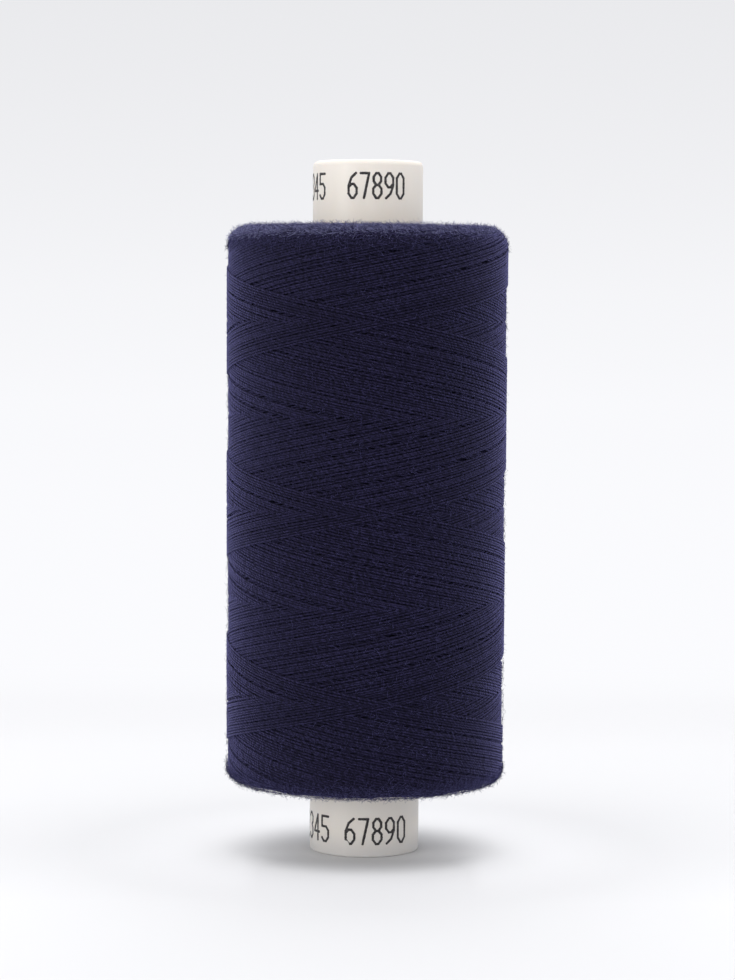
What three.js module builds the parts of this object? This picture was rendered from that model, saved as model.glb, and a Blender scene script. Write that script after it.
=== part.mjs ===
import * as THREE from 'three';

// Spool of sewing thread: a moulded tube, the inner layers of thread on it, and the
// cross-wound outer layer. Millimetres, +Z up, origin on the axis at the foot of the tube.

// Tube
const tubeHeight = 78;
const tubeRadius = 6.2;
const tubeWall = 1.5;
const topRimRounding = 0.6;
const bottomRimRounding = 0.3;
const boreEdgeRounding = 0.3;

// Winding, as the outside of the finished package
const windingBottom = 8.2;
const windingTop = 70.6;
const windingRadius = 15.7;
const endFaceRise = 0.4;         // how far the upper end face climbs towards the tube
const innerLayersRounding = 1.2; // at the shoulders of the inner layers

// Outer layer: one strand that runs down and up the package again and again
const strandDiameter = 0.6;
const cycles = 4;                // a cycle is one run down and one run up
const loopsPerCycle = 6;         // less one place, so that the next cycle lies beside the last
const stepsPerLoop = 24;
const reversalSteps = 2;         // a reversal starts and ends this far from its peak
const endMargin = 0.8;           // between a reversal and the end of the package
const crossingClearance = 0.45;  // between a run down and a run up where they cross
const strandSides = 6;
const bendSteps = 4;

const seatClearance = 0.3;       // between touching pieces
const tubeSegments = 72;
const innerLayersSegments = 96;
const roundingSteps = 4;
const gapSamples = 8;            // points on each step when the strand's gap is measured

// Runs up lie below runs down, and the inner layers end under the flats of the lower ones
const upperLevel = windingRadius - 0.5 * strandDiameter;
const lowerLevel = upperLevel - strandDiameter - crossingClearance;
const stepAngle = (2 * Math.PI) / stepsPerLoop;
const stepsPerRun = (0.5 * stepsPerLoop * (loopsPerCycle * cycles - 1)) / cycles;
const firstCrossing = (0.5 * stepsPerLoop) / cycles;
const levelSteps = 0.5 * firstCrossing;
const startStep = 1.5 * firstCrossing;
const finishStep = 2 * cycles * stepsPerRun + 0.55 * firstCrossing;
const lowerFlat = lowerLevel * Math.cos(0.5 * stepAngle);
const innerLayersRadius = lowerFlat - 0.5 * strandDiameter - seatClearance;
const seatRadius = innerLayersRadius + seatClearance;

const highest = windingTop - endMargin - 0.5 * strandDiameter;
const lowest = windingBottom + endMargin + 0.5 * strandDiameter;
const climbPerStep = (highest - lowest) / (stepsPerRun - reversalSteps);

const tubePlastic = new THREE.MeshStandardMaterial({
  color: 0xe9e4d8,
  roughness: 0.45,
  metalness: 0,
});
const navyThread = new THREE.MeshStandardMaterial({
  color: 0x24213f,
  roughness: 0.9,
  metalness: 0,
});
const shadedThread = new THREE.MeshStandardMaterial({
  color: 0x17152b,
  roughness: 0.95,
  metalness: 0,
});

// Quarter circle in the plane of radius and height, from a number of right angles
// to the next one, counted from the outward direction
function rounding(centreRadius, centreHeight, size, rightAngles) {
  const points = [];
  for (let i = 0; i <= roundingSteps; i += 1) {
    const angle = (rightAngles + i / roundingSteps) * 0.5 * Math.PI;
    const radius = centreRadius + size * Math.cos(angle);
    const height = centreHeight + size * Math.sin(angle);
    points.push(new THREE.Vector2(radius, height));
  }
  return points;
}

// Ring about the axis, from an outline that goes up its outside and down its inside
function ringGeometry(outline, segments) {
  const geometry = new THREE.LatheGeometry([...outline, outline[0].clone()], segments);
  return geometry.rotateX(0.5 * Math.PI);
}

function tubeGeometry() {
  const footRadius = tubeRadius - bottomRimRounding;
  const headRadius = tubeRadius - topRimRounding;
  const edgeRadius = tubeRadius - tubeWall + boreEdgeRounding;
  const outline = [
    ...rounding(footRadius, bottomRimRounding, bottomRimRounding, -1),
    ...rounding(headRadius, tubeHeight - topRimRounding, topRimRounding, 0),
    ...rounding(edgeRadius, tubeHeight - boreEdgeRounding, boreEdgeRounding, 1),
    ...rounding(edgeRadius, boreEdgeRounding, boreEdgeRounding, 2),
  ];
  return ringGeometry(outline, tubeSegments);
}

function innerLayersGeometry() {
  const faceRadius = innerLayersRadius - innerLayersRounding;
  const holeRadius = tubeRadius + seatClearance;
  const outline = [
    ...rounding(faceRadius, windingBottom + innerLayersRounding, innerLayersRounding, -1),
    ...rounding(faceRadius, windingTop - innerLayersRounding, innerLayersRounding, 0),
    new THREE.Vector2(holeRadius, windingTop + endFaceRise),
    new THREE.Vector2(holeRadius, windingBottom),
  ];
  return ringGeometry(outline, innerLayersSegments);
}

// Climb since the last reversal, which is a parabola that meets a straight slope
function climb(steps) {
  if (steps < reversalSteps) {
    return (climbPerStep * steps * steps) / (2 * reversalSteps);
  }
  return climbPerStep * (steps - 0.5 * reversalSteps);
}

function routeHeight(step) {
  const run = Math.floor(step / stepsPerRun);
  const done = step - run * stepsPerRun;
  const left = stepsPerRun - done;
  const travelled = done < left ? climb(done) : highest - lowest - climb(left);
  return run % 2 === 0 ? highest - travelled : lowest + travelled;
}

function levelOfRun(run) {
  return run % 2 === 0 ? upperLevel : lowerLevel;
}

function routeRadius(step) {
  const reversal = Math.round(step / stepsPerRun);
  const past = step - reversal * stepsPerRun;
  const share = THREE.MathUtils.smoothstep(past, -levelSteps, levelSteps);
  return THREE.MathUtils.lerp(levelOfRun(reversal - 1), levelOfRun(reversal), share);
}

function routePoint(step) {
  const angle = step * stepAngle;
  const radius = routeRadius(step);
  return new THREE.Vector3(
    radius * Math.cos(angle),
    radius * Math.sin(angle),
    routeHeight(step),
  );
}

// End of the strand: straight out of the inner layers for one diameter, then a bend
// into the route, forwards (1) at the start and backwards (-1) at the finish
function tuckedEnd(step, direction) {
  const angle = step * stepAngle;
  const outward = new THREE.Vector3(Math.cos(angle), Math.sin(angle), 0);
  const along = new THREE.Vector3(-Math.sin(angle), Math.cos(angle), 0);
  const bendStart = seatRadius + strandDiameter;
  const bend = upperLevel - bendStart;
  const place = (radius, travel) => {
    const turned = travel / (upperLevel * stepAngle);
    const point = outward.clone().multiplyScalar(radius);
    point.addScaledVector(along, direction * travel);
    point.z = routeHeight(step + direction * turned);
    return point;
  };
  const points = [place(seatRadius, 0)];
  for (let i = 0; i <= bendSteps; i += 1) {
    const turn = (0.5 * Math.PI * i) / bendSteps;
    points.push(place(bendStart + bend * Math.sin(turn), bend * (1 - Math.cos(turn))));
  }
  return points;
}

function strandRoute() {
  const route = tuckedEnd(startStep, 1);
  for (let step = Math.ceil(startStep); step < finishStep; step += 1) {
    route.push(routePoint(step));
  }
  return [...route, ...tuckedEnd(finishStep, -1).reverse()];
}

// Tube of strandSides flats round a route, closed by a fan at each end
function strandGeometry(route) {
  const last = route.length - 1;
  const positions = [];
  const faces = [];
  const up = new THREE.Vector3(0, 0, 1);
  route.forEach((point, i) => {
    const before = route[Math.max(i - 1, 0)];
    const after = route[Math.min(i + 1, last)];
    const arriving = i > 0 ? point.clone().sub(before).normalize() : new THREE.Vector3();
    const leaving = i < last ? after.clone().sub(point).normalize() : new THREE.Vector3();
    const forward = arriving.add(leaving).normalize();
    const upright = up.clone().addScaledVector(forward, -forward.z).normalize();
    const outward = forward.clone().cross(upright);
    for (let side = 0; side < strandSides; side += 1) {
      const turn = (2 * Math.PI * side) / strandSides;
      const corner = point.clone();
      corner.addScaledVector(outward, 0.5 * strandDiameter * Math.cos(turn));
      corner.addScaledVector(upright, 0.5 * strandDiameter * Math.sin(turn));
      positions.push(corner.x, corner.y, corner.z);
    }
  });
  for (let ring = 0; ring < last; ring += 1) {
    for (let side = 0; side < strandSides; side += 1) {
      const next = (side + 1) % strandSides;
      const a = ring * strandSides + side;
      const b = ring * strandSides + next;
      faces.push(a, a + strandSides, b);
      faces.push(b, a + strandSides, b + strandSides);
    }
  }
  for (let side = 1; side < strandSides - 1; side += 1) {
    const end = last * strandSides;
    faces.push(0, side, side + 1);
    faces.push(end, end + side + 1, end + side);
  }
  const geometry = new THREE.BufferGeometry();
  geometry.setAttribute('position', new THREE.Float32BufferAttribute(positions, 3));
  geometry.setIndex(faces);
  geometry.computeVertexNormals();
  return geometry;
}

// Least clear distance between stretches of the strand, past the few diameters of it
// that always lie next to each point
function leastGap(route) {
  const samples = [];
  let travelled = 0;
  for (let i = 1; i < route.length; i += 1) {
    const length = route[i].distanceTo(route[i - 1]);
    for (let j = 0; j < gapSamples; j += 1) {
      const share = j / gapSamples;
      const point = route[i - 1].clone().lerp(route[i], share);
      samples.push({ point, travel: travelled + share * length });
    }
    travelled += length;
  }
  const reach = 4 * strandDiameter;
  let least = Infinity;
  let apart = 0;
  samples.forEach((sample) => {
    while (apart < samples.length && samples[apart].travel < sample.travel + reach) {
      apart += 1;
    }
    for (let j = apart; j < samples.length; j += 1) {
      least = Math.min(least, sample.point.distanceToSquared(samples[j].point));
    }
  });
  return Math.sqrt(least) - strandDiameter;
}

function piece(name, geometry, material) {
  const mesh = new THREE.Mesh(geometry, material);
  mesh.name = name;
  return mesh;
}

const route = strandRoute();
console.log('least gap of the outer strand to itself, mm:', leastGap(route).toFixed(3));

const spool = new THREE.Group();
spool.name = 'spool_of_thread';
spool.add(piece('spool_tube', tubeGeometry(), tubePlastic));
spool.add(piece('thread_inner_layers', innerLayersGeometry(), shadedThread));
spool.add(piece('thread_outer_layer', strandGeometry(route), navyThread));

export default spool;
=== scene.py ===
import math
import random

import bpy
from mathutils import Matrix, Vector


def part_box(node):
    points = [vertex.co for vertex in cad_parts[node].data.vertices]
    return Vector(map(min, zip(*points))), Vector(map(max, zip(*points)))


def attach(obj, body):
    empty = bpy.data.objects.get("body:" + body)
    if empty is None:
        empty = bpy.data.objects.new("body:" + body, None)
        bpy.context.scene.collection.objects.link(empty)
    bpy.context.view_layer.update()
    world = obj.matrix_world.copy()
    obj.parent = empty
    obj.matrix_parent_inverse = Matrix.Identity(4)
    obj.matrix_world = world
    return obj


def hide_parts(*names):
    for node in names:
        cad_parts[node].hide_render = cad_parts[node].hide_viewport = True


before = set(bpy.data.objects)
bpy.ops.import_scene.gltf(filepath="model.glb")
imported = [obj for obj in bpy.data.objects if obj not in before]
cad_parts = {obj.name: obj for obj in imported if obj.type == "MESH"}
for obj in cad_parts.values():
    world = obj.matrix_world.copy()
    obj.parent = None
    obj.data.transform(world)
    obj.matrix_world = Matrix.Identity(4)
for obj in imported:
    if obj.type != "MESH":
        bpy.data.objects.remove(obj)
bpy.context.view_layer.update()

mm = 0.001
fullTurn = 2 * math.pi

package = {
    "sideProud": 0.06 * mm,          # fine thread past the side of the CAD's winding
    "upperProud": -0.08 * mm,        # and past the ends of its inner layers
    "lowerProud": 0.16 * mm,
    "upperShoulder": 2.2 * mm,       # rounding where side and end face meet
    "lowerShoulder": 1.6 * mm,
    "endFaceRise": 0.4 * mm,         # the upper end face climbs this much towards the tube
    "taper": 0.16 * mm,              # wider at the top by this much in all
}

# Sizes that all pieces share, taken from the frame
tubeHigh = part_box("spool_tube")[1]
innerLow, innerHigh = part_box("thread_inner_layers")
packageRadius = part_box("thread_outer_layer")[1].x + package["sideProud"]
tubeRadius = tubeHigh.x
tubeHeight = tubeHigh.z
lowerFace = innerLow.z - package["lowerProud"]
upperFace = innerHigh.z - package["endFaceRise"] + package["upperProud"]
packageMiddle = 0.5 * (lowerFace + upperFace)
packageLength = upperFace - lowerFace
print("frame: package radius", round(packageRadius / mm, 2), "mm, length", round(packageLength / mm, 2), "mm")


class Term:  # stands for a socket, so that sums and products of terms add the Math nodes
    def __init__(self, tree, socket):
        self.tree, self.socket = tree, socket

    def __add__(self, other):
        return maths(self.tree, "ADD", self, other)

    def __sub__(self, other):
        return maths(self.tree, "SUBTRACT", self, other)

    def __rsub__(self, other):
        return maths(self.tree, "SUBTRACT", other, self)

    def __mul__(self, other):
        return maths(self.tree, "MULTIPLY", self, other)

    def __truediv__(self, other):
        return maths(self.tree, "DIVIDE", self, other)

    def __rtruediv__(self, other):
        return maths(self.tree, "DIVIDE", other, self)

    __radd__ = __add__
    __rmul__ = __mul__


def feed(tree, slot, value):
    if isinstance(value, Term):
        value = value.socket
    if isinstance(value, bpy.types.NodeSocket):
        tree.links.new(value, slot)
    else:
        slot.default_value = value


def maths(tree, operation, *values):
    node = tree.nodes.new("ShaderNodeMath")
    node.operation = operation
    for slot, value in zip(node.inputs, values):
        feed(tree, slot, value)
    return Term(tree, node.outputs[0])


def dress(node, **inputs):  # inputs by name, with _ for a space
    for name, value in inputs.items():
        feed(node.id_data, node.inputs[name.replace("_", " ")], value)


def add(tree, kind, settings=None, **inputs):
    node = tree.nodes.new(kind)
    for name, value in (settings or {}).items():
        setattr(node, name, value)
    dress(node, **inputs)
    return node


def out(node, name=0):
    return Term(node.id_data, node.outputs[name])


def vector(tree, x, y, z):
    return out(add(tree, "ShaderNodeCombineXYZ", X=x, Y=y, Z=z))


def separate(tree, place):
    node = add(tree, "ShaderNodeSeparateXYZ", Vector=place)
    return [out(node, axis) for axis in "XYZ"]


def vectorMaths(tree, operation, *values, result="Vector"):
    node = add(tree, "ShaderNodeVectorMath", {"operation": operation})
    for slot, value in zip(node.inputs, values):
        feed(tree, slot, value)
    return out(node, result)


def scaled(tree, direction, length):
    node = add(tree, "ShaderNodeVectorMath", {"operation": "SCALE"}, Vector=direction, Scale=length)
    return out(node, "Vector")


def weighed(weights, parts):  # the sum of the parts, each times its own weight
    total = 0
    for name, weight in weights.items():
        total = parts[name] * weight + total
    return total


def distance(tree, x, y):
    return maths(tree, "SQRT", x * x + y * y)


def noise(tree, place, scale, detail=0.0):
    return out(add(tree, "ShaderNodeTexNoise", Vector=place, Scale=scale, Detail=detail))


def smoothstep(tree, value, low, high):
    settings = {"interpolation_type": "SMOOTHSTEP"}
    return out(add(tree, "ShaderNodeMapRange", settings, Value=value, From_Min=low, From_Max=high))


def named(tree, name, kind="FLOAT"):  # reads an attribute in a geometry tree
    return out(add(tree, "GeometryNodeInputNamedAttribute", {"data_type": kind}, Name=name))


def randomValue(tree, seed):  # from 0 to 1, another for each point
    return Term(tree, add(tree, "FunctionNodeRandomValue", {"data_type": "FLOAT"}, Seed=seed).outputs[1])


def store(tree, geometry, name, value, kind="FLOAT", domain="POINT"):
    settings = {"data_type": kind, "domain": domain}
    node = add(tree, "GeometryNodeStoreNamedAttribute", settings, Geometry=geometry, Name=name, Value=value)
    return out(node)


def geometryTree(name, inputs):
    tree = bpy.data.node_groups.new(name, "GeometryNodeTree")
    kinds = {float: "NodeSocketFloat", int: "NodeSocketInt", bpy.types.Material: "NodeSocketMaterial"}
    tree.interface.new_socket("Geometry", in_out="INPUT", socket_type="NodeSocketGeometry")
    for label, value in inputs.items():
        tree.interface.new_socket(label, in_out="INPUT", socket_type=kinds[type(value)])
    tree.interface.new_socket("Geometry", in_out="OUTPUT", socket_type="NodeSocketGeometry")
    source = tree.nodes.new("NodeGroupInput")
    given = {label: out(source, label) for label in ["Geometry", *inputs]}
    return tree, given, tree.nodes.new("NodeGroupOutput")


def inputsOf(settings, *keys):  # a tree's inputs are named after the settings: endJitter as "End Jitter"
    labels = ["".join(" " + letter if letter.isupper() else letter for letter in key).title() for key in keys]
    return {label: settings[key] for label, key in zip(labels, keys)}


def curveOnEach(tree, points, steps):  # a curve for each point, which knows its share of the way
    line = out(add(tree, "GeometryNodeCurvePrimitiveLine"))
    line = out(add(tree, "GeometryNodeResampleCurve", Curve=line, Count=steps))
    curves = out(add(tree, "GeometryNodeInstanceOnPoints", Points=points, Instance=line))
    curves = out(add(tree, "GeometryNodeRealizeInstances", Geometry=curves))
    return store(tree, curves, "share", out(add(tree, "GeometryNodeSplineParameter"), "Factor"))


def pointRound(tree, radius, angle, height):  # angles grow from the front to the right
    x = radius * maths(tree, "SINE", angle)
    return vector(tree, x, 0 - radius * maths(tree, "COSINE", angle), height)


def moved(tree, geometry, place):
    return out(add(tree, "GeometryNodeSetPosition", Geometry=geometry, Position=place))


def finishTree(tree, result, geometry, material):
    realized = add(tree, "GeometryNodeRealizeInstances", Geometry=geometry)
    smooth = add(tree, "GeometryNodeSetShadeSmooth", Geometry=out(realized))
    dressed = add(tree, "GeometryNodeSetMaterial", Geometry=out(smooth), Material=material)
    dress(result, Geometry=out(dressed))


def newObject(name, mesh):
    piece = bpy.data.objects.new(name, mesh)
    bpy.context.scene.collection.objects.link(piece)
    return piece


def meshObject(name, points, faces=()):
    mesh = bpy.data.meshes.new(name)
    mesh.from_pydata(points, [], faces)
    return newObject(name, mesh)


def pointCloud(name, points, attributes):  # loose points that a tree starts from
    cloud = meshObject(name, points)
    for label, values in attributes.items():
        cloud.data.attributes.new(label, "FLOAT", "POINT").data.foreach_set("value", values)
    return cloud


def grow(name, base, tree, inputs):  # the tree's result on base, as a plain mesh
    modifier = base.modifiers.new(tree.name, "NODES")
    modifier.node_group = tree
    for socket in tree.interface.items_tree:
        if socket.in_out == "INPUT" and socket.name in inputs:
            modifier[socket.identifier] = inputs[socket.name]
    evaluated = base.evaluated_get(bpy.context.evaluated_depsgraph_get())
    mesh = bpy.data.meshes.new_from_object(evaluated)
    mesh.name = name
    base.modifiers.remove(modifier)
    baseMesh = base.data
    bpy.data.objects.remove(base)
    bpy.data.meshes.remove(baseMesh)
    return newObject(name, mesh)


def rounding(radius, height, size, rightAngles, steps=6):  # a quarter circle of an outline
    angles = [(rightAngles + i / steps) * math.pi / 2 for i in range(steps + 1)]
    return [(radius + size * math.cos(a), height + size * math.sin(a)) for a in angles]


def lathe(name, outlines, segments, closed):  # a closed outline goes up the outside and down the inside
    positions, faces = [], []
    for outline in outlines:
        first, count = len(positions), len(outline)
        for segment in range(segments):
            angle = fullTurn * segment / segments
            positions += [(r * math.sin(angle), -r * math.cos(angle), z) for r, z in outline]
            here, there = first + segment * count, first + (segment + 1) % segments * count
            for i in range(count if closed else count - 1):
                j = (i + 1) % count
                faces.append((here + i, there + i, there + j, here + j))
    return meshObject(name, positions, faces)


def finishPiece(piece, slot, *replaced):
    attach(piece, "root")
    if replaced:
        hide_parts(*replaced)
    print(piece.name + ":", len(piece.data.polygons), "faces")


def newMaterial(name):
    material = bpy.data.materials.new(name)
    material.use_nodes = True
    tree = material.node_tree
    return material, tree, tree.nodes["Principled BSDF"]


def dressAsFibre(surface, look):
    dress(surface, Roughness=look["roughness"], Specular_IOR_Level=look["specular"])
    dress(surface, Sheen_Weight=look["sheen"], Sheen_Roughness=look["sheenRoughness"])
    dress(surface, Sheen_Tint=look["sheenTint"])


def emboss(tree, surface, height, depth, strength=1.0, **normal):
    bump = add(tree, "ShaderNodeBump", Height=height, Distance=depth, Strength=strength, **normal)
    dress(surface, Normal=out(bump))


def objectPlace(tree):
    return out(add(tree, "ShaderNodeTexCoord"), "Object")


def attribute(tree, name, result="Fac"):  # reads an attribute in a material
    return out(add(tree, "ShaderNodeAttribute", {"attribute_name": name}), result)


def mixColour(tree, factor, first, second):
    mix = add(tree, "ShaderNodeMix", {"data_type": "RGBA"}, Factor=factor)
    feed(tree, mix.inputs[6], first)         # the colour sockets, which share their names
    feed(tree, mix.inputs[7], second)
    return Term(tree, mix.outputs[2])


def blendDirections(tree, first, second, share):
    mix = add(tree, "ShaderNodeMix", {"data_type": "VECTOR"}, Factor=share)
    feed(tree, mix.inputs[4], first)         # the vector sockets
    feed(tree, mix.inputs[5], second)
    return vectorMaths(tree, "NORMALIZE", Term(tree, mix.outputs[1]))


# Spun thread, with its plies, flecks of fibre and painted shade in its gaps

threadLook = {
    "shadow": (0.0028, 0.0020, 0.0092, 1),   # painted shade between threads and between plies
    "body": (0.0062, 0.0047, 0.0186, 1),
    "crest": (0.0204, 0.0172, 0.0506, 1),
    "exposed": {"facing": 0.9, "ply": 0.6, "grain": 1.0, "fine": 1.0},
    "exposedFrom": (0.92, 1.25),             # sums between which a spot comes out of the painted shade
    # the lighter crest colour: flecks at random, with a little painted highlight on the plies' crests
    "crests": {"grain": 1.8, "fine": 1.9, "shade": 0.4, "clouds": 0.3, "ply": 0.3},
    "relief": {"ply": 1.0, "grain": 1.0, "fine": 0.6},
    "reliefHeight": 0.04 * mm,
    "plyPitch": 0.60 * mm,                   # from one ply to the next along the thread
    "plyDrift": 7.0,                         # how unevenly the plies are twisted
    "driftScale": 900.0,
    "fleckLength": 0.45 * mm,                # flecks drawn out along the thread
    "flecksAcross": 0.75,
    "fineScale": 9000.0,
    "cloudScale": 220.0,
    "flatten": 0.55,                         # how far the fuzz hides the thread's own roundness
    "roughness": 0.70,
    "specular": 0.09,
    "sheen": 0.56,
    "sheenRoughness": 0.40,
    "sheenTint": (0.44, 0.42, 1.00, 1),
}


def threadMaterial():
    material, tree, surface = newMaterial("navySpunThread")
    look = threadLook
    along, sine, cosine = separate(tree, attribute(tree, "lay", "Vector"))
    outward = attribute(tree, "outward", "Vector")
    normal = out(add(tree, "ShaderNodeNewGeometry"), "Normal")
    place = objectPlace(tree)
    across = look["flecksAcross"]
    fleckPlace = vector(tree, along / look["fleckLength"], sine * across, cosine * across)
    drift = noise(tree, place, look["driftScale"]) - 0.5
    twist = along * (math.pi / look["plyPitch"]) + drift * look["plyDrift"]
    ply = maths(tree, "SINE", twist) * sine + maths(tree, "COSINE", twist) * cosine
    parts = {
        "facing": vectorMaths(tree, "DOT_PRODUCT", normal, outward, result="Value"),
        "ply": maths(tree, "ABSOLUTE", ply),
        "grain": noise(tree, fleckPlace, 1.0, detail=1.0) - 0.5,
        "fine": noise(tree, place, look["fineScale"]) - 0.5,
        "clouds": noise(tree, place, look["cloudScale"], detail=2.0) - 0.5,
        "shade": attribute(tree, "shade") - 0.5,
    }
    # painted shade: the colour goes to the shadow colour where a strand turns away from the package's
    # outside, and in the grooves between its plies
    exposed = smoothstep(tree, weighed(look["exposed"], parts), *look["exposedFrom"])
    raised = mixColour(tree, weighed(look["crests"], parts), look["body"], look["crest"])
    dress(surface, Base_Color=mixColour(tree, exposed, look["shadow"], raised))
    softened = blendDirections(tree, normal, outward, look["flatten"])
    emboss(tree, surface, weighed(look["relief"], parts), look["reliefHeight"], Normal=softened)
    dressAsFibre(surface, look)
    return material


# Cross-wound thread on the side of the package

winding = {
    "strands": 68,                   # side by side on one pitch, each way
    "pitch": 20.8 * mm,              # climb in one turn
    "turns": 3.0,                    # from one end to the other
    "reversal": 26 / 360,            # half the share of a turn on which the thread turns back
    "layer": 0.17 * mm,              # what one layer adds to the radius
    "threadRadius": 0.122 * mm,
    "threadSides": 6,
    "stepsPerTurn": 80,
    "twistWithin": 50 * mm,          # the twist of each thread starts somewhere on this length
    "crossing": 16 / 360,            # where the newest threads cross, in turns from the front
    "changeover": 0.03,              # share of a pitch on which the two ways change places
    "leastChangeover": 0.0005,
    "wander": 0.25 * mm,
    "wanderPace": (37, 6),           # how fast it changes from thread to thread, and along the climb
    "endJitter": 1.4 * mm,
    "jitterPace": (43, 5),           # the same from thread to thread, and from end to end
    "jitterSeed": 20.5,              # on top of the seed
    "unevenness": 0.20,              # in spacings
    "gapsUp": (0.165, 0.62, 0.80),   # where threads lie apart and leave a dark line, in pitches
    "gapsDown": (0.353, 0.42, 0.69, 0.90),
    "gapWidth": 0.95,                # in spacings
    "gapFade": 3,                    # threads on which the shift beside a gap dies away
    "olderSteps": 48,
    "olderSides": 4,
    "olderCrossing": 0.31,
    "stripsEach": 2.0,               # strips of the UV map for each thread
    "seed": 7,
}


def strandPlaces(gaps):
    chance = random.Random(winding["seed"])
    count = winding["strands"]
    places, shifts, shades = [], [], []
    for strand in range(count):
        places.append((strand + 0.5 + chance.uniform(-1, 1) * winding["unevenness"]) / count)
        shades.append(chance.random())
        shift = 0
        for gap in gaps:
            away = strand + 0.5 - round(gap * count)
            shift += math.copysign(math.exp(-abs(away) / winding["gapFade"]), away)
        shifts.append(0.5 * shift * winding["gapWidth"] / count)
    return {"place": places, "shift": shifts, "shade": shades, "strand": list(range(count))}


def roundedEdge(tree, reach, size):  # what is left of an edge's rounding, reach past its start
    steepest = 0.98                  # share of the rounding at which it stops
    reach = maths(tree, "MINIMUM", maths(tree, "MAXIMUM", reach, 0), size * steepest)
    return maths(tree, "SQRT", size * size - reach * reach)


def windingTree(inputs):
    tree, given, result = geometryTree("crossWinding", inputs)
    shared = curveOnEach(tree, given["Geometry"], given["Steps"])

    # Turns and climb from the middle of the run, with a rounded reversal at each end
    turn = (named(tree, "share") - 0.5) * given["Turns"]
    away = maths(tree, "ABSOLUTE", turn)
    side = maths(tree, "SIGN", turn)
    reversal = given["Reversal"]
    past = maths(tree, "MAXIMUM", away - given["Turns"] * 0.5 + reversal, 0)
    climb = (away - past * past / (reversal * 2)) * side * given["Pitch"]
    near = smoothstep(tree, given["Turns"] * 0.5 - away, 0, reversal * 2)
    place = named(tree, "place") + named(tree, "shift") * near
    around = place + given["Direction"] * turn

    # The thread that was laid last lies on top
    own = maths(tree, "FRACT", place)
    other = maths(tree, "FRACT", place + given["Direction"] * turn * 2)
    window = maths(tree, "MINIMUM", own, 1 - own)
    window = maths(tree, "MINIMUM", window, given["Changeover"]) + winding["leastChangeover"]
    under = smoothstep(tree, other - own, 0 - window, window)
    lift = given["Layer"] * (own + other - 1 - under)

    # Small irregularities, alike where the run up meets the run down
    byThread, byClimb = winding["wanderPace"]
    spot = vector(tree, named(tree, "place") * byThread, climb / given["Pitch"] * byClimb, given["Seed"])
    wander = noise(tree, spot, 1.0, detail=1.0) - 0.5
    byThread, bySide = winding["jitterPace"]
    another = given["Seed"] + winding["jitterSeed"]
    spot = vector(tree, named(tree, "place") * byThread, side * bySide, another)
    jitter = noise(tree, spot, 1.0) - 0.5
    height = given["Middle"] + climb + wander * given["Wander"]
    height = height + jitter * given["End Jitter"] * past / reversal

    radius = given["Radius"] + given["Taper"] * (height - given["Middle"]) + lift - given["Thread Radius"]
    for reach, size in (
        (height - given["Upper Face"] + given["Upper Shoulder"], given["Upper Shoulder"]),
        (given["Lower Face"] + given["Lower Shoulder"] - height, given["Lower Shoulder"]),
    ):
        radius = radius - size + roundedEdge(tree, reach, size)
    laid = moved(tree, shared, pointRound(tree, radius, (around + given["Crossing"]) * fullTurn, height))
    sweepThread(tree, result, laid, given)
    return tree


def thicken(tree, curves, given):  # gives the curves their thickness
    settings = {"mode": "RADIUS"}
    radius, sides = given["Thread Radius"], given["Thread Sides"]
    section = out(add(tree, "GeometryNodeCurvePrimitiveCircle", settings, Resolution=sides, Radius=radius))
    section = store(tree, section, "corner", out(add(tree, "GeometryNodeInputIndex")) / sides)
    return out(add(tree, "GeometryNodeCurveToMesh", Curve=curves, Profile_Curve=section, Fill_Caps=True))


def sweepThread(tree, result, curves, given):  # with its lay, which the plies follow
    length = out(add(tree, "GeometryNodeSplineParameter"), "Length")
    twistStart = named(tree, "shade") * winding["twistWithin"]
    tube = thicken(tree, store(tree, curves, "along", length + twistStart), given)
    corner = named(tree, "corner") * fullTurn
    lay = vector(tree, named(tree, "along"), maths(tree, "SINE", corner), maths(tree, "COSINE", corner))
    tube = store(tree, tube, "lay", lay, "FLOAT_VECTOR")
    tube = store(tree, tube, "outward", outwardHere(tree), "FLOAT_VECTOR")
    finishTree(tree, result, layOutMap(tree, tube, given), given["Material"])


def outwardHere(tree):  # away from a smaller cylinder under the package's rounded edges
    edge = package["upperShoulder"]
    x, y, z = separate(tree, out(add(tree, "GeometryNodeInputPosition")))
    beyond = 1 - maths(tree, "MINIMUM", (packageRadius - edge) / distance(tree, x, y), 1)
    level = maths(tree, "MINIMUM", maths(tree, "MAXIMUM", z, lowerFace + edge), upperFace - edge)
    return vectorMaths(tree, "NORMALIZE", vector(tree, x * beyond, y * beyond, z - level))


def onFace(tree, value):  # a point value's mean on each face
    return out(add(tree, "GeometryNodeFieldOnDomain", {"domain": "FACE"}, Value=value))


def layOutMap(tree, tube, given):  # every stretch of thread gets its own strip of the UV map
    strips, columns, rows = given["Strips Each"], given["Map Columns"], given["Map Rows"]
    corner = named(tree, "corner")
    sine = onFace(tree, maths(tree, "SINE", corner * fullTurn))
    cosine = onFace(tree, maths(tree, "COSINE", corner * fullTurn))
    faceTurn = maths(tree, "FRACT", maths(tree, "ARCTAN2", sine, cosine) / fullTurn + 1)
    closing = maths(tree, "LESS_THAN", corner, faceTurn - 0.5)
    almost = 0.9999                  # keeps the end of a thread on its last strip
    strip = maths(tree, "FLOOR", onFace(tree, named(tree, "share")) * strips * almost)
    cell = named(tree, "strand") * strips + strip
    column = maths(tree, "MODULO", cell, columns)
    row = maths(tree, "FLOOR", (cell + 0.5) / columns)
    along = named(tree, "share") * strips - strip
    ends, sides = 0.02, 0.08         # free shares of a strip
    u = (column + along * (1 - 2 * ends) + ends) / columns
    v = (row + (corner + closing) * (1 - 2 * sides) + sides) / rows
    return store(tree, tube, "OFBake", vector(tree, u, v, 0), "FLOAT2", "CORNER")


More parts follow.
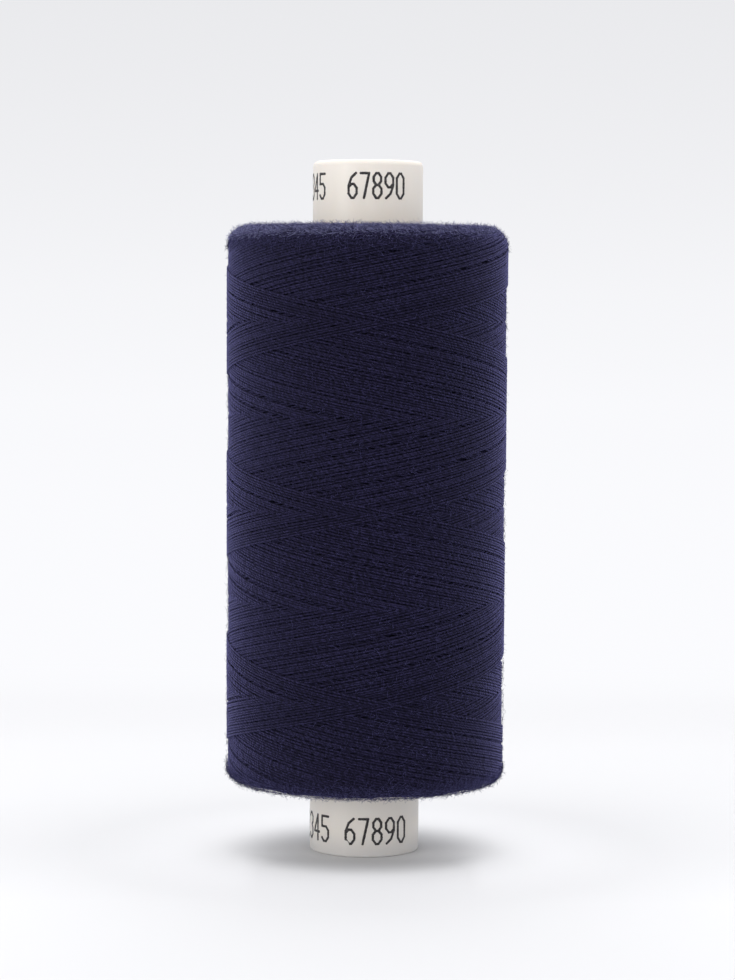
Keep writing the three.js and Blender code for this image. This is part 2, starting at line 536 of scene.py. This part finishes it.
def windSide(material):
    inputs = {
        **inputsOf(winding, "turns", "pitch", "reversal", "changeover", "layer", "crossing", "wander"),
        **inputsOf(winding, "endJitter", "threadRadius", "threadSides", "stripsEach", "seed"),
        **inputsOf(package, "upperShoulder", "lowerShoulder"),
        "Steps": int(winding["stepsPerTurn"] * winding["turns"]) + 1,
        "Direction": 1.0,
        "Middle": packageMiddle,
        "Radius": packageRadius,
        "Taper": package["taper"] / packageLength,
        "Upper Face": upperFace,
        "Lower Face": lowerFace,
        "Map Columns": 1.0,
        "Map Rows": winding["stripsEach"] * winding["strands"],
        "Material": material,
    }
    tree = windingTree(inputs)
    pieces = []
    for name, direction, gaps, older in (
        ("threadLaidUp", 1.0, winding["gapsUp"], False),
        ("threadLaidDown", -1.0, winding["gapsDown"], False),
        ("olderThreadUp", 1.0, (), True),
        ("olderThreadDown", -1.0, (), True),
    ):
        if older:  # the double layer beneath, which shows only through the gaps
            inputs["Radius"] = packageRadius - 2 * winding["layer"]
            inputs["Crossing"] = winding["crossing"] + winding["olderCrossing"]
            inputs["Steps"] = int(winding["olderSteps"] * winding["turns"]) + 1
            inputs["Thread Sides"] = winding["olderSides"]
        starts = pointCloud(name + "Starts", [(0, 0, 0)] * winding["strands"], strandPlaces(gaps))
        inputs["Direction"] = direction
        pieces.append(grow(name, starts, tree, inputs))
    return pieces


# End faces: each layer of thread turned back there, and left a ring of short arcs

endFace = {
    "innerRadius": 6.45 * mm,
    "outerInset": 0.25 * mm,         # from the side of the package to the last ring
    "ringSpacing": 0.34 * mm,        # two layers of crossing thread
    "arcsPerRing": 56.0,
    "arcShare": 24 / 360,            # half an arc, in turns
    "arcSteps": 9,
    "threadSides": 5,
    "arcDrop": 0.60 * mm,            # from the peak of an arc to its ends
    "peakJitter": 0.34 * mm,
    "radiusJitter": 0.16 * mm,
    "startJitter": 0.02,             # in turns
    "tilt": 0.25 * mm,
    "shoulderInset": 0.10 * mm,      # the arcs' shoulder lies this far inside the package's
    "mapColumns": 16.0,              # of the UV map
    "seed": 3,
}


def endFaceTree(inputs):
    tree, given, result = geometryTree("endFaceArcs", inputs)
    points = out(add(tree, "GeometryNodeMeshLine", Count=given["Arcs"]))
    number = out(add(tree, "GeometryNodeInputIndex"))
    points = store(tree, points, "ring", number / given["Arcs Per Ring"])
    points = store(tree, points, "strand", number)
    for offset, name in enumerate(("peak", "reach", "lean", "start", "shade")):
        points = store(tree, points, name, randomValue(tree, given["Seed"] + offset))
    shared = curveOnEach(tree, points, given["Arc Steps"])

    along = named(tree, "share") * 2 - 1
    start = named(tree, "ring") + named(tree, "start") * given["Start Jitter"]
    angle = (start + along * given["Arc Share"]) * fullTurn
    radius = given["Inner Radius"] + named(tree, "ring") * given["Ring Spacing"]
    radius = radius + (named(tree, "reach") - 0.5) * given["Radius Jitter"]
    radius = radius + (named(tree, "lean") - 0.5) * given["Tilt"] * along

    # The face climbs towards the tube, and falls away into the shoulder
    shoulder, side = given["Shoulder"], given["Package Radius"]
    rise = given["Rise"] * smoothstep(tree, side - radius, shoulder, side - given["Inner Radius"])
    fall = shoulder - roundedEdge(tree, radius - side + shoulder, shoulder)
    drop = given["Arc Drop"] * along * along + named(tree, "peak") * given["Peak Jitter"]
    height = given["Face"] + given["Outward"] * (rise - fall - (drop + given["Thread Radius"]))
    laid = moved(tree, shared, pointRound(tree, radius, angle, height))
    sweepThread(tree, result, laid, given)
    return tree


def windEndFaces(material):
    rings = (packageRadius - endFace["outerInset"] - endFace["innerRadius"]) / endFace["ringSpacing"]
    arcs = rings * endFace["arcsPerRing"]
    inputs = {
        **inputsOf(endFace, "arcsPerRing", "arcSteps", "arcShare", "arcDrop", "innerRadius", "ringSpacing"),
        **inputsOf(endFace, "radiusJitter", "peakJitter", "startJitter", "tilt", "threadSides", "mapColumns"),
        "Arcs": int(arcs),
        "Package Radius": packageRadius - endFace["shoulderInset"],
        "Shoulder": package["upperShoulder"],
        "Rise": package["endFaceRise"],
        "Face": upperFace,
        "Outward": 1.0,
        "Thread Radius": winding["threadRadius"],
        "Strips Each": 1.0,
        "Map Rows": float(math.ceil(arcs / endFace["mapColumns"])),
        "Seed": endFace["seed"],
        "Material": material,
    }
    tree = endFaceTree(inputs)
    pieces = []
    for name, face, outward, shoulder, rise in (
        ("threadAtUpperEnd", upperFace, 1.0, package["upperShoulder"], package["endFaceRise"]),
        ("threadAtLowerEnd", lowerFace, -1.0, package["lowerShoulder"], 0.0),
    ):
        inputs.update({"Face": face, "Outward": outward, "Shoulder": shoulder, "Rise": rise})
        base = pointCloud(name + "Base", [(0, 0, 0)], {})
        pieces.append(grow(name, base, tree, inputs))
    return pieces


# Loose fibres that stand out of the spun thread

fuzz = {
    "number": 13000,                 # in each piece
    "length": 0.85 * mm,
    "shortest": 0.35,                # share of that length
    "rise": 0.30 * mm,               # how far the highest fibres stand out around the side
    "riseAtEnds": 0.42 * mm,
    "riseAtUpperEdge": 0.50 * mm,
    "arch": 1.5,                     # how steeply a fibre leaves the thread
    "droop": 1.3,                    # and how far it may bend back to it
    "curl": 0.45,
    "spreadAbove": math.radians(150),  # fibres of the upper edge lie more along the thread
    "thickness": 0.024 * mm,
    "sides": 3,
    "steps": 3,
    "rootDepth": 0.06 * mm,          # beneath the side of the package
    "rootDepthAtEnds": 0.20 * mm,
    "fromTube": 0.15 * mm,
    "edgeFrom": 2,                   # points of the rounding that the haze above leaves out
    "edgeReach": 1.2 * mm,           # how far it reaches inwards
    "skinSegments": 120,
    "mapColumns": 120.0,
    "mapSpare": 1.06,                # the scatter's number varies a little
    "seed": 11,
    "seedStep": 30,
}

fuzzLook = {
    "dark": (0.007, 0.006, 0.018, 1),
    "pale": (0.042, 0.040, 0.085, 1),        # their ends: painted light that shines through the thin fibres
    "paintedBacklightAbove": (0.30, 0.30, 0.50, 1),      # painted backlight on the haze along the upper edge
    "paleFrom": (11.4 * mm, 14.6 * mm),      # radii between which the haze's painted backlight grows
    "leastPale": 0.08,
    "endShare": 0.75,                        # of the paleness, the rest comes in clumps
    "clumpScale": 1400.0,
    "clumpFrom": (0.3, 0.7),
    "roughness": 0.80,
    "specular": 0.02,
    "sheen": 0.40,
    "sheenRoughness": 0.42,
    "sheenTint": (0.43, 0.41, 1.00, 1),
}


def fuzzMaterial(name, pale, paleFrom, paleTo):
    material, tree, surface = newMaterial(name)
    look = fuzzLook
    place = objectPlace(tree)
    clumps = smoothstep(tree, noise(tree, place, look["clumpScale"], detail=2.0), *look["clumpFrom"])
    # paleness: painted light through the fibres towards their ends, and in random clumps
    paleness = attribute(tree, "share") * look["endShare"] + clumps * (1 - look["endShare"])
    # the painted light fades out inside the given radii
    outer = smoothstep(tree, distance(tree, *separate(tree, place)[:2]), paleFrom, paleTo)
    paleness = paleness * (outer * (1 - look["leastPale"]) + look["leastPale"])
    dress(surface, Base_Color=mixColour(tree, paleness, look["dark"], pale))
    dressAsFibre(surface, look)
    return material


def fuzzTree(inputs):
    tree, given, result = geometryTree("looseFibres", inputs)
    skin, density, seed = given["Geometry"], given["Density"], given["Seed"]
    scatter = add(tree, "GeometryNodeDistributePointsOnFaces", Mesh=skin, Density=density, Seed=seed)
    points = store(tree, out(scatter, "Points"), "away", out(scatter, "Normal"), "FLOAT_VECTOR")
    for offset, name in enumerate(("heading", "long", "high", "bent", "droop"), 1):
        points = store(tree, points, name, randomValue(tree, seed + offset))
    points = store(tree, points, "strand", out(add(tree, "GeometryNodeInputIndex")))
    points = store(tree, points, "root", out(add(tree, "GeometryNodeInputPosition")), "FLOAT_VECTOR")
    fibres = curveOnEach(tree, points, given["Steps"])

    # A fibre leaves the surface in its own direction, rises and bends back a little
    away = named(tree, "away", "FLOAT_VECTOR")
    slanting = (0.31, 0.17, 0.93)    # a direction that hardly any of a skin faces
    level = vectorMaths(tree, "NORMALIZE", vectorMaths(tree, "CROSS_PRODUCT", away, slanting))
    upright = vectorMaths(tree, "CROSS_PRODUCT", away, level)
    heading = (named(tree, "heading") - 0.5) * given["Heading Spread"]
    upright = scaled(tree, upright, maths(tree, "SINE", heading))
    ahead = vectorMaths(tree, "ADD", scaled(tree, level, maths(tree, "COSINE", heading)), upright)
    aside = vectorMaths(tree, "CROSS_PRODUCT", away, ahead)
    share, high = named(tree, "share"), named(tree, "high")
    length = given["Length"] * (given["Shortest"] + (1 - given["Shortest"]) * named(tree, "long"))
    arch = share * given["Arch"] - share * share * named(tree, "droop") * given["Droop"]
    bend = length * given["Curl"] * (named(tree, "bent") - 0.5) * 2 * share * share
    place = named(tree, "root", "FLOAT_VECTOR")
    rise = given["Rise"] * high * high * arch
    for direction, part in ((ahead, length * share), (aside, bend), (away, rise)):
        place = vectorMaths(tree, "ADD", place, scaled(tree, direction, part))
    tube = thicken(tree, moved(tree, fibres, place), given)
    finishTree(tree, result, layOutMap(tree, tube, given), given["Material"])
    return tree


def growFuzz():
    navy = fuzzMaterial("navyLooseFibre", fuzzLook["pale"], 0, tubeRadius)
    # the fibres along the upper edge get painted backlight, paler towards the outside
    paintedBacklitHaze = fuzzMaterial("navyHazePaintedBacklight", fuzzLook["paintedBacklightAbove"], *fuzzLook["paleFrom"])
    inputs = {
        **inputsOf(fuzz, "length", "shortest", "rise", "arch", "droop", "curl", "steps", "seed"),
        **inputsOf(fuzz, "mapColumns"),
        "Density": 1.0,              # worked out for each piece
        "Heading Spread": fullTurn,
        "Thread Radius": fuzz["thickness"] / 2,
        "Thread Sides": fuzz["sides"],
        "Strips Each": 1.0,
        "Map Rows": float(math.ceil(fuzz["number"] * fuzz["mapSpare"] / fuzz["mapColumns"])),
        "Material": navy,
    }
    tree = fuzzTree(inputs)
    upper, lower = package["upperShoulder"], package["lowerShoulder"]
    radius, hole = packageRadius - fuzz["rootDepth"], tubeRadius + fuzz["fromTube"]
    above = rounding(radius - upper, upperFace - upper, upper, 0)
    below = rounding(radius - lower, lowerFace + lower, lower, -1)
    upperEnd = above + [(hole, upperFace + package["endFaceRise"] - fuzz["rootDepthAtEnds"])]
    lowerEnd = [(hole, lowerFace + fuzz["rootDepthAtEnds"])] + below
    upperEdge = above[fuzz["edgeFrom"]:] + [(radius - upper - fuzz["edgeReach"], upperFace)]
    pieces = []
    for number, (name, outlines, rise, spread, material) in enumerate((
        ("looseFibresAround", [below + above], fuzz["rise"], fullTurn, navy),
        ("looseFibresAtEdges", [above, below], fuzz["riseAtEnds"], fullTurn, navy),
        ("looseFibresAtEnds", [upperEnd, lowerEnd], fuzz["riseAtEnds"], fullTurn, navy),
        ("looseFibresAtUpperEdge", [upperEdge], fuzz["riseAtUpperEdge"], fuzz["spreadAbove"], paintedBacklitHaze),
    )):
        skin = lathe(name + "Skin", outlines, fuzz["skinSegments"], False)  # only carries the fibres' roots
        area = sum(face.area for face in skin.data.polygons)
        inputs.update({"Density": fuzz["number"] / area, "Seed": fuzz["seed"] + fuzz["seedStep"] * number})
        inputs.update({"Rise": rise, "Heading Spread": spread, "Material": material})
        pieces.append(grow(name, skin, tree, inputs))
    return pieces


# The tube, with its rounded edges and the mark of its mould

tubeShape = {
    "wall": 1.5 * mm,
    "upperRounding": 0.6 * mm,
    "lowerRounding": 0.25 * mm,
    "boreRounding": 0.3 * mm,
    "segments": 256,
    "sideSteps": 40,
    "rimSteps": 8,
    "edgeSteps": 4,
    "markAt": math.radians(-20),
    "markWidth": 0.45 * mm,
    "markHeight": 0.5 * mm,
    "markRise": 0.09 * mm,
}

tubeLook = {
    "colour": (0.780, 0.725, 0.640, 1),
    "shaded": (0.735, 0.675, 0.590, 1),
    "shading": {"streaks": 0.6, "clouds": 0.6},
    "dull": (0.550, 0.530, 0.505, 1),     # painted shade, towards the foot where it stands on the floor
    "paintedShadeHeight": 3.4 * mm,
    "paintedShadeShare": 0.65,
    "paintedShadeClouds": 0.2,
    "streakScale": 900.0,
    "drawnOut": 0.12,                     # along the tube
    "cloudScale": 140.0,
    "grainScale": 5200.0,
    "roughness": 0.26,                    # at its smoothest
    "rougher": {"streaks": 0.15, "grain": 0.1},
    "relief": {"streaks": 0.5, "grain": 0.3},
    "reliefHeight": 0.02 * mm,
    "reliefStrength": 0.5,
    "scatter": 0.12,
    "scatterRadius": (0.9, 0.6, 0.35),
    "scatterScale": 1.2 * mm,
}


def tubeMaterial():
    material, tree, surface = newMaterial("ivoryMouldedPlastic")
    look = tubeLook
    place = objectPlace(tree)
    flow = add(tree, "ShaderNodeMapping", Vector=place, Scale=(1, 1, look["drawnOut"]))
    parts = {
        "streaks": noise(tree, out(flow), look["streakScale"], detail=4.0),
        "clouds": noise(tree, place, look["cloudScale"], detail=2.0),
        "grain": noise(tree, place, look["grainScale"], detail=2.0),
    }
    colour = mixColour(tree, weighed(look["shading"], parts), look["colour"], look["shaded"])
    height = separate(tree, place)[2]
    # painted shade: darker towards the foot, made uneven by the clouds
    paintedFootShading = parts["clouds"] * look["paintedShadeClouds"] + look["paintedShadeShare"]
    paintedFootShading = (1 - smoothstep(tree, height, 0, look["paintedShadeHeight"])) * paintedFootShading
    dress(surface, Base_Color=mixColour(tree, paintedFootShading, colour, look["dull"]))
    dress(surface, Roughness=weighed(look["rougher"], parts) + look["roughness"])
    emboss(tree, surface, weighed(look["relief"], parts), look["reliefHeight"], look["reliefStrength"])
    dress(surface, Subsurface_Weight=look["scatter"], Subsurface_Radius=look["scatterRadius"])
    dress(surface, Subsurface_Scale=look["scatterScale"])
    return material


def makeTube():
    shape = tubeShape
    foot, rim, edge = shape["lowerRounding"], shape["upperRounding"], shape["boreRounding"]
    head, bore = tubeHeight - rim, tubeRadius - shape["wall"]
    steps = shape["sideSteps"]
    outline = rounding(tubeRadius - foot, foot, foot, -1, shape["edgeSteps"])
    outline += [(tubeRadius, foot + (head - foot) * i / steps) for i in range(1, steps)]
    outline += rounding(tubeRadius - rim, head, rim, 0, shape["rimSteps"])
    outline += rounding(bore + edge, tubeHeight - edge, edge, 1, shape["edgeSteps"])
    outline += [(bore, tubeHeight - edge - (tubeHeight - 2 * edge) * i / steps) for i in range(1, steps)]
    outline += rounding(bore + edge, edge, edge, 2, shape["edgeSteps"])
    tube = lathe("tubeBody", [outline], shape["segments"], True)
    tube.data.shade_smooth()
    for vertex in tube.data.vertices:  # the mark that the mould left at the foot
        x, y, z = vertex.co
        angle = math.atan2(x, -y)
        across, up = (angle - shape["markAt"]) * tubeRadius / shape["markWidth"], z / shape["markHeight"]
        if math.hypot(x, y) > tubeRadius - foot:
            swell = shape["markRise"] * math.exp(-across * across - up * up)
            vertex.co += swell * Vector((math.sin(angle), -math.cos(angle), 0))
    tube.data.materials.append(tubeMaterial())
    return tube


# Plain counting digits stand where such a tube carries its printed line of dots

printing = {
    "ink": (0.020, 0.018, 0.018, 1),
    "thinInk": (0.100, 0.090, 0.085, 1),
    "thinFrom": (0.45, 0.75),
    "speckScale": 6000.0,
    "smoothest": 0.35,
    "rougher": 0.3,
    "speckHeight": 0.01 * mm,
    "speckStrength": 0.4,
    "specular": 0.35,
    "dotRadius": 0.155 * mm,
    "dotSpacing": 0.18 * mm,
    "dotRise": 0.010 * mm,
    "dotSides": 10,
    "smallest": 0.92,                # the dots' sizes vary a little
    "variation": 0.16,
    "seed": 5,
    "lines": (                       # digits, angle of the first, step, foot, height and width
        ("67890", -16.0, 12.8, 73.72 * mm, 2.72 * mm, 0.92 * mm),
        ("12345", -106.4, 12.8, 73.72 * mm, 2.72 * mm, 0.92 * mm),
        ("67890", -14.8, 14.3, 1.56 * mm, 2.82 * mm, 1.00 * mm),
        ("12345", -102.5, 14.3, 1.56 * mm, 2.82 * mm, 1.00 * mm),
    ),
}

strokeBox = (4, 8)                   # width and height that the strokes are drawn in
strokes = {
    "0": (((1.5, 8), (2.5, 8), (4, 6.5), (4, 1.5), (2.5, 0), (1.5, 0), (0, 1.5), (0, 6.5), (1.5, 8)),),
    "1": (((0.8, 6.3), (2.4, 8), (2.4, 0)),),
    "2": (((0, 6.5), (1.5, 8), (2.5, 8), (4, 6.5), (4, 5.2), (0, 1), (0, 0), (4, 0)),),
    "3": (((0, 6.8), (1.3, 8), (2.7, 8), (4, 6.8), (4, 5.2), (2.8, 4.2),
           (4, 3.1), (4, 1.2), (2.7, 0), (1.3, 0), (0, 1.2)),),
    "4": (((3, 0), (3, 8), (0, 2.6), (4, 2.6)),),
    "5": (((4, 8), (0, 8), (0, 4.7), (2.7, 4.7), (4, 3.5), (4, 1.3), (2.7, 0), (1.2, 0), (0, 1)),),
    "6": (((3.6, 8), (1.4, 6.6), (0, 4), (0, 1.4), (1.4, 0), (2.6, 0), (4, 1.4),
           (4, 3.2), (2.6, 4.5), (1.4, 4.5), (0, 3.4)),),
    "7": (((0, 8), (4, 8), (1.6, 0)),),
    "8": (((1.4, 4.2), (0.2, 5.4), (0.2, 6.8), (1.4, 8), (2.6, 8), (3.8, 6.8), (3.8, 5.4), (2.6, 4.2),
           (1.4, 4.2)),
          ((1.4, 4.2), (0, 3), (0, 1.4), (1.4, 0), (2.6, 0), (4, 1.4), (4, 3), (2.6, 4.2))),
    "9": (((0.4, 0), (2.6, 1.4), (4, 4), (4, 6.6), (2.6, 8), (1.4, 8), (0, 6.6),
           (0, 4.8), (1.4, 3.5), (2.6, 3.5), (4, 4.6)),),
}


def dotsOf(stroke, wide, high):  # evenly spaced points along a stroke, in metres
    dots = []
    for (x0, y0), (x1, y1) in zip(stroke, stroke[1:]):
        start, end = Vector((x0 * wide, y0 * high)), Vector((x1 * wide, y1 * high))
        steps = max(1, round((end - start).length / printing["dotSpacing"]))
        dots += [start.lerp(end, i / steps) for i in range(steps)]
    return dots + [end]


def printingTree(inputs):
    tree, given, result = geometryTree("inkDots", inputs)
    dot = add(tree, "GeometryNodeMeshCylinder", Vertices=given["Dot Sides"], Radius=given["Dot Radius"])
    dress(dot, Depth=given["Dot Rise"])
    dots = add(tree, "GeometryNodeInstanceOnPoints", Points=given["Geometry"], Instance=out(dot))
    size = randomValue(tree, given["Seed"]) * given["Variation"] + given["Smallest"]
    dress(dots, Rotation=vector(tree, 0, math.pi / 2, named(tree, "turn")), Scale=size)
    finishTree(tree, result, out(dots), given["Material"])
    return tree


def inkMaterial():
    material, tree, surface = newMaterial("darkPrintingInk")
    specks = noise(tree, objectPlace(tree), printing["speckScale"], detail=2.0)
    thin = smoothstep(tree, specks, *printing["thinFrom"])
    dress(surface, Base_Color=mixColour(tree, thin, printing["ink"], printing["thinInk"]))
    dress(surface, Roughness=specks * printing["rougher"] + printing["smoothest"])
    emboss(tree, surface, specks, printing["speckHeight"], printing["speckStrength"])
    dress(surface, Specular_IOR_Level=printing["specular"])
    return material


def printDigits():
    places, turns = [], []
    for digits, first, step, foot, height, width in printing["lines"]:
        wide, high = width / strokeBox[0], height / strokeBox[1]
        for number, digit in enumerate(digits):
            middle = math.radians(first + number * step)
            for dot in [dot for stroke in strokes[digit] for dot in dotsOf(stroke, wide, high)]:
                angle = middle + (dot.x - width / 2) / tubeRadius
                places.append((tubeRadius * math.sin(angle), -tubeRadius * math.cos(angle), foot + dot.y))
                turns.append(angle - math.pi / 2)
    inputs = {
        **inputsOf(printing, "dotSides", "dotRadius", "smallest", "variation", "seed"),
        "Dot Rise": 2 * printing["dotRise"],
        "Material": inkMaterial(),
    }
    dots = pointCloud("printedDots", places, {"turn": turns})
    return grow("printedDigits", dots, printingTree(inputs), inputs)


# The thread beneath, which fills the package

core = {
    "depth": 0.75 * mm,              # beneath the end faces
    "sharper": 0.50 * mm,            # its shoulders are this much smaller than the package's
    "intoTube": 0.02 * mm,
    "segments": 180,
    "dark": (0.003, 0.0025, 0.008, 1),
    "light": (0.012, 0.010, 0.026, 1),
    "lineScale": 900.0,
    "unevenness": 1.5,
    "reliefHeight": 0.1 * mm,
    "reliefStrength": 0.8,
    "roughness": 0.9,
    "specular": 0.15,
}


def coreMaterial():
    material, tree, surface = newMaterial("navyThreadBeneath")
    wave = add(tree, "ShaderNodeTexWave", {"bands_direction": "Z"}, Vector=objectPlace(tree), Detail=1.0)
    dress(wave, Scale=core["lineScale"], Distortion=core["unevenness"])
    lines = out(wave, "Fac")
    dress(surface, Base_Color=mixColour(tree, lines, core["dark"], core["light"]))
    emboss(tree, surface, lines, core["reliefHeight"], core["reliefStrength"])
    dress(surface, Roughness=core["roughness"], Specular_IOR_Level=core["specular"])
    return material


def makeCore():
    side, hole = innerHigh.x, tubeRadius - core["intoTube"]
    upper, lower = package["upperShoulder"] - core["sharper"], package["lowerShoulder"] - core["sharper"]
    bottom, top = lowerFace + core["depth"], upperFace - core["depth"]
    outline = rounding(side - lower, bottom + lower, lower, -1)
    outline += rounding(side - upper, top - upper, upper, 0)
    outline += [(hole, top + package["endFaceRise"]), (hole, bottom)]
    beneath = lathe("threadBeneath", [outline], core["segments"], True)
    beneath.data.shade_smooth()
    beneath.data.materials.append(coreMaterial())
    return beneath


# Stage: camera, floor that sweeps up behind, lamps

view = {
    "place": (0.15 * mm, -322 * mm, 61.6 * mm),
    "tiltDown": 0.064,               # in radians, as the roll
    "roll": 0.0062,
    "lens": 104.5,
}

sweep = {                            # colours by the distance behind the spool, in metres
    # painted light and shade: the floor's colour as the camera sees it changes with the distance, to even out
    # how the lamps and the spool's shadow fall on it
    "floorSeen": ((-0.065, 0.68), (-0.03, 0.71), (0.0, 0.675), (0.035, 0.67), (0.075, 0.64), (0.12, 0.58)),
    "floorTint": (1.01, 1.00, 0.985),
    "lift": 0.26,                    # painted light: how much lighter the floor is drawn near the spool, to thin out its wide shadow
    "liftFrom": (0.0045, 0.008),
    "liftSides": (-0.009, -0.003),   # in front of the foot the painted light is left out, so the floor stays darker there
    "liftInFront": 0.6,              # share of the painted light further in front
    "liftFront": (0.010, 0.018),
    "liftAside": (0.008, 0.014),
    "liftTo": (0.012, 0.034),
    "glow": ((0.1, 0.966), (1.04, 0.946), (1.18, 0.914), (1.38, 0.824)),
    "glowTint": (1.0, 1.003, 1.03),
    "glowStarts": (0.06, 0.16),      # where the lit floor turns into a glowing backdrop
    "bounceColour": (0.62, 0.65, 0.71, 1),
    "roughness": 0.7,
    "specular": 0.1,
    "halfWidth": 1.6,
    "front": -1.4,
    "back": 0.9,                     # where the floor starts to rise
    "bend": 0.6,
    "bendSteps": 24,
    "height": 1.8,
}

lamps = {                            # place, size, aimed at, power in watts, colour
    "fillFront": ((0.10, -0.90, 0.13), (0.60, 0.24), (0, 0, 0.04), 0.58, (1.0, 0.95, 0.90)),
    "fillLeft": ((-0.50, -0.42, 0.13), (0.30, 0.24), (0, 0, 0.04), 0.96, (1, 1, 1)),
    "softboxBehind": ((0.0, 0.40, 0.42), (0.60, 0.30), (0, 0, 0.07), 1.05, (1, 1, 1)),
}
skyColour = (0.95, 0.96, 1.0, 1)
skyGlow = {"even": 0.78, "left": 0.207, "right": 0.50, "above": 1.07}  # what each side adds to the even glow


def makeCamera():
    data = bpy.data.cameras.new("camera")
    data.lens = view["lens"]
    data.sensor_width = 36
    data.clip_start, data.clip_end = 0.01, 20
    camera = newObject("camera", data)
    tilt = Matrix.Rotation(math.pi / 2 - view["tiltDown"], 4, "X")
    camera.matrix_world = Matrix.Translation(view["place"]) @ tilt @ Matrix.Rotation(view["roll"], 4, "Z")
    bpy.context.scene.camera = camera


def gradient(tree, value, stops, tint):  # a colour that changes smoothly from stop to stop
    low, high = stops[0][0], stops[-1][0]
    share = out(add(tree, "ShaderNodeMapRange", Value=value, From_Min=low, From_Max=high))
    ramp = add(tree, "ShaderNodeValToRGB", Fac=share)
    elements = ramp.color_ramp.elements
    while len(elements) < len(stops):
        elements.new(0.5)
    for element, (place, level) in zip(elements, stops):
        element.position = (place - low) / (high - low)
        element.color = [min(level * part, 1) for part in tint] + [1]
    return out(ramp, "Color")


def makeSweep():
    material, tree, surface = newMaterial("paleSweep")
    rays = add(tree, "ShaderNodeLightPath")
    seen = maths(tree, "MAXIMUM", out(rays, "Is Camera Ray"), out(rays, "Is Glossy Ray"))
    seen = maths(tree, "MAXIMUM", seen, out(rays, "Is Transmission Ray"))
    right, behind = separate(tree, objectPlace(tree))[:2]
    reach = distance(tree, right, behind)
    # painted light: a ring around the spool is drawn lighter, except just in front of its foot
    near = smoothstep(tree, reach, *sweep["liftFrom"]) * (1 - smoothstep(tree, reach, *sweep["liftTo"]))
    inFront = smoothstep(tree, reach, *sweep["liftFront"]) * sweep["liftInFront"]
    aside = smoothstep(tree, maths(tree, "ABSOLUTE", right), *sweep["liftAside"])
    lifted = maths(tree, "MAXIMUM", smoothstep(tree, behind, *sweep["liftSides"]), inFront)
    near = near * maths(tree, "MAXIMUM", lifted, aside)
    floor = gradient(tree, behind, sweep["floorSeen"], sweep["floorTint"])
    floor = scaled(tree, floor, near * sweep["lift"] + 1)
    dress(surface, Base_Color=mixColour(tree, seen, sweep["bounceColour"], floor))
    dress(surface, Roughness=sweep["roughness"], Specular_IOR_Level=sweep["specular"])
    glow = add(tree, "ShaderNodeEmission", Color=gradient(tree, behind, sweep["glow"], sweep["glowTint"]))
    glowing = smoothstep(tree, behind, *sweep["glowStarts"]) * seen
    blend = tree.nodes.new("ShaderNodeMixShader")
    for slot, value in zip(blend.inputs, (glowing, surface.outputs[0], glow.outputs[0])):
        feed(tree, slot, value)
    dress(tree.nodes["Material Output"], Surface=blend.outputs[0])
    path = [(sweep["front"], 0)]
    for i in range(sweep["bendSteps"] + 1):
        angle = math.pi / 2 * i / sweep["bendSteps"]
        path.append((sweep["back"] + sweep["bend"] * math.sin(angle), sweep["bend"] * (1 - math.cos(angle))))
    path.append((sweep["back"] + sweep["bend"], sweep["height"]))
    half = sweep["halfWidth"]
    points = [(side * half, y, z) for y, z in path for side in (-1, 1)]
    faces = [(2 * i, 2 * i + 1, 2 * i + 3, 2 * i + 2) for i in range(len(path) - 1)]
    floor = meshObject("sweep", points, faces)
    floor.data.shade_smooth()
    floor.data.materials.append(material)


def makeLamps():
    for name, (place, size, aim, power, colour) in lamps.items():
        data = bpy.data.lights.new(name, "AREA")
        data.shape = "RECTANGLE"
        data.size, data.size_y = size
        data.energy, data.color = power, colour
        lamp = newObject(name, data)
        towards = Vector(aim) - Vector(place)
        lamp.matrix_world = Matrix.Translation(place) @ towards.to_track_quat("-Z", "Y").to_matrix().to_4x4()


def makeSky():
    world = bpy.data.worlds.new("studio")
    world.use_nodes = True
    tree = world.node_tree
    towards = separate(tree, out(add(tree, "ShaderNodeTexCoord"), "Generated"))
    glow = skyGlow["even"]
    for side, axis, sign in (("left", 0, -1), ("right", 0, 1), ("above", 2, 1)):
        share = maths(tree, "MAXIMUM", towards[axis] * sign, 0)
        glow = share * share * skyGlow[side] + glow
    dress(tree.nodes["Background"], Color=skyColour, Strength=glow)
    bpy.context.scene.world = world


bpy.context.scene.view_settings.view_transform = "Standard"
makeCamera()
makeSweep()
makeLamps()
makeSky()
print("stage: camera, sweep, sky and", len(lamps), "lamps")
thread = threadMaterial()
for piece in windSide(thread):
    finishPiece(piece, "thread", "thread_outer_layer")
for piece in [*windEndFaces(thread), makeCore()]:
    finishPiece(piece, "thread_inner", "thread_inner_layers")
finishPiece(makeTube(), "tube", "spool_tube")
finishPiece(printDigits(), "tube")
for piece in growFuzz():
    finishPiece(piece, "thread")
